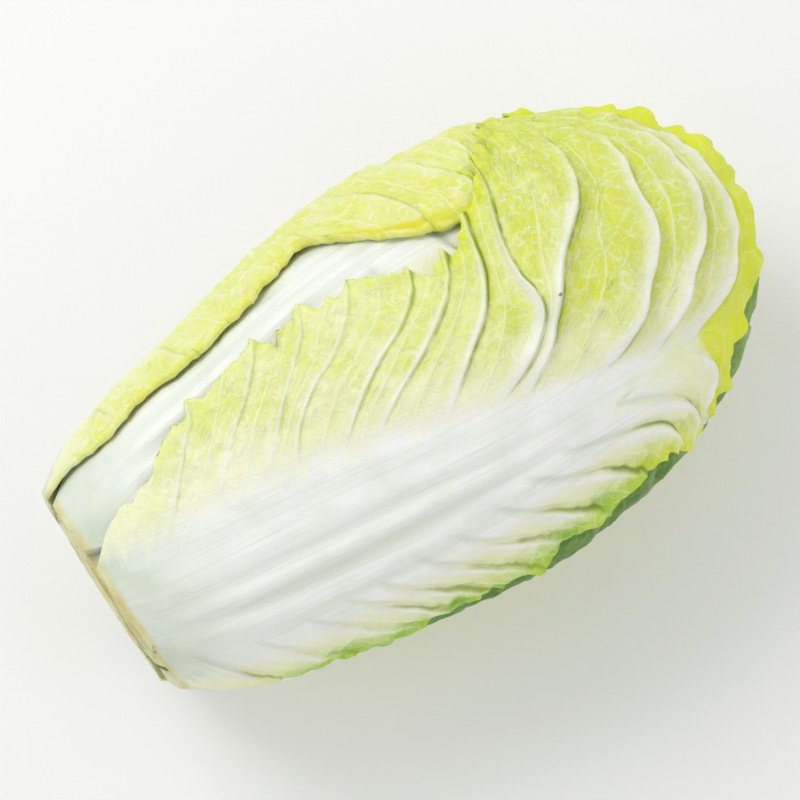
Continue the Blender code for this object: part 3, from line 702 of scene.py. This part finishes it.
def even_veins(count, reach, lean=0.040, drop=0.040):
    """Veins in chevrons up a leaf, ending with a rounded tip margin."""
    lines = []
    for number in range(1, count + 1):
        share = number / count
        bend = lean * 4 * share * (1 - share) - drop * share**3
        places = np.linspace(-VEIN_REACH, VEIN_REACH, 7)
        lines.append(tuple((d, reach * share + bend * (abs(d) / VEIN_REACH) ** 1.4) for d in places))
    return tuple(lines)


def ring_leaf(name, angle, base, half, reach, **other):
    """A leaf that starts between two angles at the cut base and then spreads to half its width each way."""
    right, left = base[0] - angle, base[1] - angle
    fields = dict(
        left=((0.0, left),) + tuple((place, half * share) for place, share in SPREAD),
        right=((0.0, right),) + tuple((place, -half * share) for place, share in SPREAD),
        midrib=((0.0, (left + right) / 2), (0.05, 0), (0.34, 3)),
        veins=even_veins(other.pop("count"), reach),
        rib_width=RIB,
        left_pleats=PLEATS,
        right_pleats=PLEATS,
    )
    fields.update(other)
    return Leaf(name=name, angle=angle, **fields)


def outer_leaves():
    """The four leaves beside the front one. At the cut base they stand side by side."""
    back_edge = (
        (0.0, -49), (0.014, -58), (0.024, -63), (0.050, -62), (0.075, -66), (0.089, -66), (0.105, -62),
        (0.126, -60), (0.136, -68), (0.152, -79), (0.165, -84), (0.192, -84), (0.208, -70), (0.31, -54),
    )
    fine = dict(count=11, columns=110, cell=0.0018)
    return [
        ring_leaf(
            "leaf_02_back", 106, (55, 149), 56, 0.284, depth=0.0014, rib_thickness=0.0072,
            slot="pale_leaf", seed=2, right=back_edge, roll=0.0010, teeth=1.0, frill=0.0012,
            edge_band=0.0009, vein_strength=0.5, crinkles=1.5,
            green=((0.0, 0.5), (0.06, 0.6), (0.15, 0.8), (0.31, 0.9)),
            right_pleats=BACK_PLEATS, **fine
        ),
        ring_leaf(
            "leaf_03_underside", 184, (151, 229), 57, 0.276, depth=0.0014, rib_thickness=0.0072,
            slot="outer_leaf", seed=3, **fine
        ),
        ring_leaf(
            "leaf_04_shaded", -104, (-129, -85), 50, 0.290, depth=0.0016, rib_thickness=0.0068,
            slot="outer_leaf", seed=4, rib_width=SHORT_RIB, look="shaded",
            midrib=((0.0, -3), (0.05, -6), (0.10, -24), (0.34, -24)), left_pleats=SHADED_PLEATS,
            vein_strength=0.2, crinkles=0.5, frill=0.0010,
            green=((0.0, 0.6), (0.08, 1.0), (0.17, 1.0), (0.22, 0.8), (0.31, 0.6)), **fine
        ),
        ring_leaf(
            "leaf_05_stalk", 33, (15, 53), 50, 0.300, depth=0.0022, rib_thickness=0.0068,
            slot="pale_leaf", seed=5, rib_width=STALK_RIB, **fine
        ),
    ]


def wrapped_leaves():
    """Two rings of three leaves under the outer ones. The innermost ring closes round the stem."""
    places = (
        ("leaf_06_wrapped", 125, 0.294, 0.0030), ("leaf_07_wrapped", -115, 0.300, 0.0036),
        ("leaf_08_wrapped", 5, 0.304, 0.0042), ("leaf_09_wrapped", 65, 0.308, 0.0100),
        ("leaf_10_wrapped", 185, 0.306, 0.0100), ("leaf_11_wrapped", -55, 0.312, 0.0100),
    )
    plain = dict(columns=60, cell=0.0035)
    ring = dict(rib_thickness=0.0060, count=8, slot="pale_leaf", **plain)
    inmost = dict(
        rib_thickness=0.0055, count=8, slot="inner_leaf", rib_width=INMOST_RIB, fills_base=True, **plain
    )
    made = []
    for number, (name, angle, reach, depth) in enumerate(places):
        fields = dict(ring if number < 3 else inmost, seed=6 + number)
        made.append(ring_leaf(name, angle, (angle - 58, angle + 58), 56, reach, depth=depth, **fields))
    return made


def linear(red, green, blue):
    """A colour for a shader from the 0 to 255 values seen in a picture."""
    return tuple((part / 255) ** 2.2 for part in (red, green, blue)) + (1.0,)


class Shader:
    """Short calls that add nodes to one material and join them up."""

    def __init__(self, name):
        self.material = bpy.data.materials.new(name)
        self.material.use_nodes = True
        self.nodes = self.material.node_tree.nodes
        self.links = self.material.node_tree.links
        self.out = self.nodes["Principled BSDF"]

    def node(self, kind, inputs=(), **settings):
        made = self.nodes.new(kind)
        for key, value in settings.items():
            setattr(made, key, value)
        for key, value in dict(inputs).items():
            self.give(made.inputs[key], value)
        return made

    def give(self, socket, value):
        if isinstance(value, bpy.types.NodeSocket):
            self.links.new(value, socket)
        else:
            socket.default_value = value

    def mask(self, name):
        return self.node("ShaderNodeAttribute", attribute_name=name).outputs["Fac"]

    def math(self, operation, *values):
        made = self.node("ShaderNodeMath", operation=operation)
        for socket, value in zip(made.inputs, values):
            self.give(socket, value)
        return made.outputs[0]

    def mix(self, share, one, two):
        made = self.node("ShaderNodeMix", data_type="RGBA", clamp_factor=True)
        self.give(made.inputs[0], share)
        self.give(made.inputs[6], one)
        self.give(made.inputs[7], two)
        return made.outputs[2]

    def texture(self, kind, where, scale, **settings):
        inputs = {"Vector": where, "Scale": scale, **settings.pop("inputs", {})}
        return self.node(kind, inputs, **settings)

    def times(self, one, two):
        return self.math("MULTIPLY", one, two)

    def rest(self, value):
        """What is left of one."""
        return self.math("SUBTRACT", 1.0, value)

    def noise(self, where, scale, detail):
        inputs = {"Detail": detail}
        return self.texture("ShaderNodeTexNoise", where, scale, inputs=inputs).outputs["Fac"]

    def stretch(self, value, low, high):
        """The value spread so that low becomes nothing and high becomes one."""
        made = self.node("ShaderNodeMapRange", {"From Min": low, "From Max": high, "Value": value})
        made.clamp = True
        return made.outputs[0]


def small_veins(s, place, near):
    """Strength of the vein net of a blade: thin branches off the main veins, cells and finer cells."""
    bend = s.noise(place, BEND, 3.0)
    leaning = s.math("SUBTRACT", s.mask("side"), s.times(near, 0.8))
    phase = s.math("ADD", s.times(leaning, BRANCHES), s.times(bend, 2.2))
    apart = s.math("PINGPONG", phase, 0.5)
    branch = s.rest(s.stretch(apart, 0.012, 0.055))
    middle = s.rest(s.stretch(s.math("ABSOLUTE", s.mask("mid")), 0.25, 0.75))
    warp = s.texture("ShaderNodeTexNoise", place, WARP, inputs={"Detail": 2.0}).outputs["Color"]
    bent = s.node("ShaderNodeVectorMath", operation="MULTIPLY_ADD")
    for socket, value in zip(bent.inputs, (warp, (7.0, 7.0, 0.0), place)):
        s.give(socket, value)
    nets = []
    for scale, low, high in NETS:
        cells = s.texture("ShaderNodeTexVoronoi", bent.outputs[0], scale, feature="DISTANCE_TO_EDGE")
        nets.append(s.rest(s.stretch(cells.outputs["Distance"], low, high)))
    coarse = s.times(nets[0], 0.75)
    fine = s.times(nets[1], 0.30)
    lines = s.math("MAXIMUM", s.math("MAXIMUM", branch, s.times(middle, 0.9)), coarse)
    return lines, s.math("MAXIMUM", lines, fine)


def fibres(s):
    """Fine lines along a rib, from nothing to one."""
    joined = s.node("ShaderNodeCombineXYZ")
    s.give(joined.inputs[0], s.mask("off"))
    s.give(joined.inputs[1], s.times(s.mask("along"), 0.03))
    thin = s.noise(joined.outputs[0], 0.8, 4.0)
    return s.stretch(thin, 0.48, 0.75)


def streaks(s):
    """Noise drawn out along the side veins, so that colours run out from the rib in streaks."""
    joined = s.node("ShaderNodeCombineXYZ")
    for socket, value in zip(joined.inputs, (s.times(s.mask("place"), 7.0), s.mask("side"))):
        s.give(socket, value)
    squeezed = s.node("ShaderNodeVectorMath", operation="MULTIPLY")
    s.give(squeezed.inputs[0], joined.outputs[0])
    s.give(squeezed.inputs[1], (1.0, 0.05, 1.0))
    return s.noise(squeezed.outputs[0], 1.0, 3.0)


def rib_colour(s, colours, cloud):
    """White with duller patches, painted shade in the grooves, and duller low by the cut."""
    low = s.times(s.stretch(s.mask("along"), 50.0, 0.0), s.times(cloud, 1.7))
    patches = s.times(s.stretch(cloud, 0.40, 0.70), 0.35)
    # Painted shade in the rib's grooves, together with dull patches and duller tissue low by the cut
    dullness_and_groove_shade = s.math("MAXIMUM", s.times(s.mask("dull_and_groove_shade"), 0.6), s.math("MAXIMUM", low, patches))
    return s.mix(dullness_and_groove_shade, colours["rib"], colours["dull_and_groove_shade"])


def leaf_colour(s, colours, place, lines):
    """White ribs and veins, a blade that greens towards the tip, thin dark painted shade along the creases
    and a dry cut.
    """
    cloud = s.noise(place, CLOUD, 4.0)
    streak = streaks(s)
    streaked = s.times(s.math("SUBTRACT", streak, 0.5), 0.9)
    mottle = s.math("ADD", s.math("SUBTRACT", cloud, 0.5), streaked)
    greener = s.math("MULTIPLY_ADD", mottle, 1.5, s.mask("green"))
    colour = s.mix(greener, colours["pale"], colours["green"])
    by_rib = s.stretch(s.math("ADD", s.mask("side"), s.times(mottle, 26.0)), 26.0, 0.0)
    colour = s.mix(s.times(by_rib, 0.75), colour, colours["net"])
    margin = s.mix(s.mask("right"), colours["edge"], colours["right"])
    margin = s.mix(s.times(s.stretch(cloud, 0.44, 0.62), 0.6), margin, colours["green"])
    colour = s.mix(s.stretch(s.mask("edge"), 0.15, 0.70), colour, margin)
    quieter = s.rest(s.times(s.mask("edge"), 0.6))
    colour = s.mix(s.times(lines, s.times(quieter, 0.62)), colour, colours["net"])
    # Painted shade in the creases, broken up in patches by noise
    shade_breaks = s.stretch(s.math("ADD", streak, s.math("SUBTRACT", cloud, 0.5)), 0.36, 0.56)
    colour = s.mix(s.times(s.mask("crease"), shade_breaks), colour, colours["crease"])
    zone = s.math("ADD", s.mask("white"), s.times(s.math("SUBTRACT", streak, 0.5), 1.3))
    white = s.math("MAXIMUM", s.stretch(zone, 0.20, 0.85), s.times(s.mask("vein"), 0.86))
    colour = s.mix(white, colour, rib_colour(s, colours, cloud))
    colour = s.mix(s.times(fibres(s), s.times(white, 0.35)), colour, colours["dull_and_groove_shade"])
    colour = s.mix(s.times(specks(s, place, cloud), white), colour, colours["spot"])
    return cut_face(s, colour, colours), white


def specks(s, place, cloud):
    """A few small dark marks at random places."""
    drawn = s.node("ShaderNodeVectorMath", operation="MULTIPLY")
    s.give(drawn.inputs[0], place)
    s.give(drawn.inputs[1], (1.0, 0.55, 1.0))
    spots = s.texture("ShaderNodeTexVoronoi", drawn.outputs[0], SPECK_GRID).outputs["Distance"]
    near = s.rest(s.stretch(spots, 0.025, 0.045))
    return s.times(near, s.stretch(cloud, 0.53, 0.56))


def cut_face(s, colour, colours):
    """The cut end of a leaf or the stem: cream tissue with tan patches where it has dried."""
    where = s.node("ShaderNodeTexCoord").outputs["Object"]
    dried = s.noise(where, 75.0, 6.0)
    tissue = s.mix(s.stretch(dried, 0.36, 0.74), colours["fresh"], colours["cut"])
    spots = s.noise(where, 240.0, 2.0)
    tissue = s.mix(s.times(s.stretch(spots, 0.66, 0.76), 0.6), tissue, colours["spot"])
    return s.mix(s.mask("cut"), colour, tissue)


def leaf_material(name, colours):
    """Waxy, slightly see-through leaf, with its veins, cells and fibres raised a little."""
    s = Shader(name)
    where = s.node("ShaderNodeTexCoord").outputs["Object"]
    joined = s.node("ShaderNodeCombineXYZ")
    s.give(joined.inputs[0], s.mask("off"))
    s.give(joined.inputs[1], s.mask("along"))
    place = joined.outputs[0]
    lines, net = small_veins(s, place, s.mask("near"))
    colour, white = leaf_colour(s, colours, place, net)
    s.give(s.out.inputs["Base Color"], colour)
    s.give(s.out.inputs["Roughness"], s.math("MULTIPLY_ADD", white, -0.08, 0.46))
    for socket, value in LEAF_SURFACE.items():
        s.out.inputs[socket].default_value = value
    grain = s.noise(where, 900.0, 3.0)
    raised = s.times(net, s.rest(white))
    ribbed = s.times(fibres(s), s.times(white, -0.35))
    height = s.math("ADD", s.math("MULTIPLY_ADD", grain, 0.25, s.times(raised, 0.6)), ribbed)
    bump = s.node("ShaderNodeBump", {"Strength": 0.5, "Distance": 0.0006, "Height": height})
    s.give(s.out.inputs["Normal"], bump.outputs["Normal"])
    return s.material


def leaf_materials():
    """One material for each look. A look with no colour of its own for the right margin has the edge's."""
    shared = dict(
        # The crease colour is a dark green painted shade for the creases.
        # The groove colour is grey-green: painted shade in the rib's grooves, and also the rib's own dull
        # patches and fibres.
        rib=linear(247, 249, 245), dull_and_groove_shade=linear(206, 217, 196), crease=linear(120, 146, 26),
        fresh=linear(224, 226, 180), cut=linear(208, 188, 104), spot=linear(104, 84, 44),
    )
    looks = {
        "outer_leaf": dict(
            pale=linear(236, 244, 178), green=linear(218, 231, 66), edge=linear(228, 238, 30),
            right=linear(146, 200, 22), net=linear(245, 249, 216),
        ),
        "shaded": dict(
            pale=linear(150, 186, 78), green=linear(72, 118, 6), edge=linear(104, 156, 16),
            net=linear(128, 166, 62),
        ),
        "pale_leaf": dict(
            pale=linear(240, 246, 184), green=linear(226, 236, 84), edge=linear(232, 224, 10),
            net=linear(246, 249, 214),
        ),
        "inner_leaf": dict(
            pale=linear(240, 240, 196), green=linear(230, 226, 112), edge=linear(228, 222, 70),
            net=linear(244, 242, 204),
        ),
    }
    stem = dict(shared, pale=linear(226, 220, 176), green=linear(220, 210, 150))
    made = {"stem": stem_material(stem), "heart": heart_material(looks["inner_leaf"])}
    for name, look in looks.items():
        made[name] = leaf_material(name, {"right": look["edge"], **shared, **look})
    return made


def build_leaves(materials):
    """Every large leaf, from the outermost in. Returns the search trees of their blades."""
    trees = []
    for leaf in [front_leaf()] + outer_leaves() + wrapped_leaves():
        top, low, masks = leaf_points(Grid(leaf), trees)
        piece, tree = blade(leaf.name + "_blade", top, low, masks)
        piece.data.materials.append(materials[leaf.look or leaf.slot])
        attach(piece, "root")
        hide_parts(leaf.name)
        trees.append(tree)
    return trees


def inward_space(trees):
    """Free distance from the axis to the leaves round the stem, at each station and turn."""
    stations = np.linspace(0.0, STEM[-1][0], STEM_STATIONS)[:, None]
    turn = np.linspace(0.0, math.tau, STEM_SIDES, endpoint=False)[None, :]
    stations, turn = stations + 0.0 * turn, turn + 0.0 * stations
    directions = np.stack([np.zeros_like(turn), np.sin(turn), np.cos(turn)], axis=-1)
    origins = np.stack([stations, np.zeros_like(turn), np.zeros_like(turn)], axis=-1)
    origins[0, :, 0] = origins[1, 0, 0] / 20
    space = free_distance(origins, directions, trees)
    space = np.minimum(space, np.minimum(np.roll(space, 1, axis=1), np.roll(space, -1, axis=1)))
    return stations, directions, np.minimum(space - STEM_AIR / 2, curve(STUMP, stations))


def stem_rings(trees):
    """Rings of points from the middle of the hollowed cut face to its rim, then down the cone's side."""
    stations, directions, reach = inward_space(trees)
    side = np.stack([stations, np.zeros_like(stations), np.zeros_like(stations)], axis=-1)
    side = side + reach[..., None] * directions
    face = []
    for share in CUT_RINGS:
        ring = share * reach[0][:, None] * directions[0]
        uneven = [noise.noise(Vector(point) * FACE_GRAIN) for point in ring]
        ring[:, 0] = FACE_START + FACE_HOLLOW * (1 - share**4) + FACE_ROUGH * np.array(uneven)
        face.append(ring)
    return np.concatenate([np.array(face[::-1]), side[1:]])


def build_stem(material, trees):
    """The cut stump between the innermost leaves, and the cone inside the head."""
    rings = stem_rings(trees)
    count = rings.shape[0]
    points = np.concatenate([rings.reshape(-1, 3), [rings[0].mean(axis=0), rings[-1].mean(axis=0)]])
    index = np.arange(count * STEM_SIDES).reshape(count, STEM_SIDES)
    after = np.roll(index, -1, axis=1)
    faces = np.stack([index[:-1], after[:-1], after[1:], index[1:]], axis=-1).reshape(-1, 4).tolist()
    for row, middle in ((0, count * STEM_SIDES), (count - 1, count * STEM_SIDES + 1)):
        faces += [(int(a), int(b), middle) for a, b in zip(index[row], after[row])]
    data = bpy.data.meshes.new("stem_cut")
    data.from_pydata((points + np.array(AXIS)).tolist(), [], faces)
    cut = (points[:, 0] < FACE_END).astype(np.float32)
    data.attributes.new("cut", "FLOAT", "POINT").data.foreach_set("value", cut)
    piece = finished("stem_cut", data)
    piece.data.materials.append(material)
    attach(piece, "root")
    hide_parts("stem")


def stem_material(colours):
    """Pale stem, with a cut face like the leaves'."""
    s = Shader("stem")
    where = s.node("ShaderNodeTexCoord").outputs["Object"]
    grain = s.noise(where, 420.0, 5.0)
    colour = s.mix(s.stretch(grain, 0.35, 0.65), colours["pale"], colours["green"])
    s.give(s.out.inputs["Base Color"], cut_face(s, colour, colours))
    s.out.inputs["Roughness"].default_value = 0.55
    bump = s.node("ShaderNodeBump", {"Strength": 0.6, "Distance": 0.0008, "Height": grain})
    s.give(s.out.inputs["Normal"], bump.outputs["Normal"])
    return s.material


def heart_material(colours):
    """Young blanched leaves: pale yellow, with a net of paler veins."""
    s = Shader("heart")
    where = s.node("ShaderNodeTexCoord").outputs["Object"]
    cloud = s.noise(where, 60.0, 4.0)
    cells = s.texture("ShaderNodeTexVoronoi", where, 220.0, feature="DISTANCE_TO_EDGE").outputs["Distance"]
    net = s.rest(s.stretch(cells, 0.02, 0.12))
    colour = s.mix(s.stretch(cloud, 0.35, 0.65), colours["pale"], colours["green"])
    colour = s.mix(s.times(net, 0.5), colour, colours["net"])
    s.give(s.out.inputs["Base Color"], colour)
    s.out.inputs["Roughness"].default_value = 0.5
    bump = s.node("ShaderNodeBump", {"Strength": 0.5, "Distance": 0.0006, "Height": net})
    s.give(s.out.inputs["Normal"], bump.outputs["Normal"])
    return s.material


def dress_heart(material):
    """The heart keeps its shape and takes the new material."""
    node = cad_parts["heart"]
    node.data.materials.clear()
    node.data.materials.append(material)


def build_floor():
    data = bpy.data.meshes.new("floor")
    far = FLOOR_REACH
    data.from_pydata([(-far, -far, 0), (far, -far, 0), (far, far, 0), (-far, far, 0)], [], [(0, 1, 2, 3)])
    floor = bpy.data.objects.new("floor", data)
    bpy.context.collection.objects.link(floor)
    s = Shader("floor_white")
    s.out.inputs["Base Color"].default_value = (FLOOR_WHITE, FLOOR_WHITE, FLOOR_WHITE, 1.0)
    s.out.inputs["Roughness"].default_value = 0.9
    data.materials.append(s.material)


def area_light(name, turn, lift, distance, size, power):
    """A soft square light that faces the head."""
    data = bpy.data.lights.new(name, "AREA")
    data.size = size
    data.energy = power
    light = bpy.data.objects.new(name, data)
    a, e = math.radians(turn), math.radians(lift)
    back = Vector((math.sin(a) * math.cos(e), -math.cos(a) * math.cos(e), math.sin(e)))
    light.location = VIEW_AIM + distance * back
    light.rotation_euler = (-back).to_track_quat("-Z", "Y").to_euler()
    bpy.context.collection.objects.link(light)


def build_light():
    """An even white surround, a key light from the tip's side and a weak fill from the lower right."""
    world = bpy.data.worlds.new("studio")
    world.use_nodes = True
    background = world.node_tree.nodes["Background"]
    background.inputs["Color"].default_value = (1.0, 1.0, 1.0, 1.0)
    background.inputs["Strength"].default_value = SKY_STRENGTH
    bpy.context.scene.world = world
    area_light("key", turn=200.0, lift=50.0, distance=1.6, size=0.8, power=8.5)
    area_light("fill", turn=25.0, lift=45.0, distance=1.6, size=0.9, power=2.0)
    bpy.context.scene.view_settings.view_transform = "Standard"


def build_camera():
    """The photo's viewing angle: nearly straight down, with the head turned across the frame."""
    data = bpy.data.cameras.new("camera")
    data.lens_unit = "FOV"
    data.angle = math.radians(VIEW_FIELD)
    camera = bpy.data.objects.new("camera", data)
    a, e = math.radians(VIEW_TURN), math.radians(VIEW_RISE)
    back = Vector((math.sin(a) * math.cos(e), -math.cos(a) * math.cos(e), math.sin(e)))
    camera.location = VIEW_AIM + VIEW_DISTANCE * back
    camera.rotation_euler = (-back).to_track_quat("-Z", "Y").to_euler()
    bpy.context.collection.objects.link(camera)
    bpy.context.scene.camera = camera


build_camera()
build_light()
build_floor()
MATERIALS = leaf_materials()
TREES = build_leaves(MATERIALS)
build_stem(MATERIALS["stem"], TREES)
dress_heart(MATERIALS["heart"])
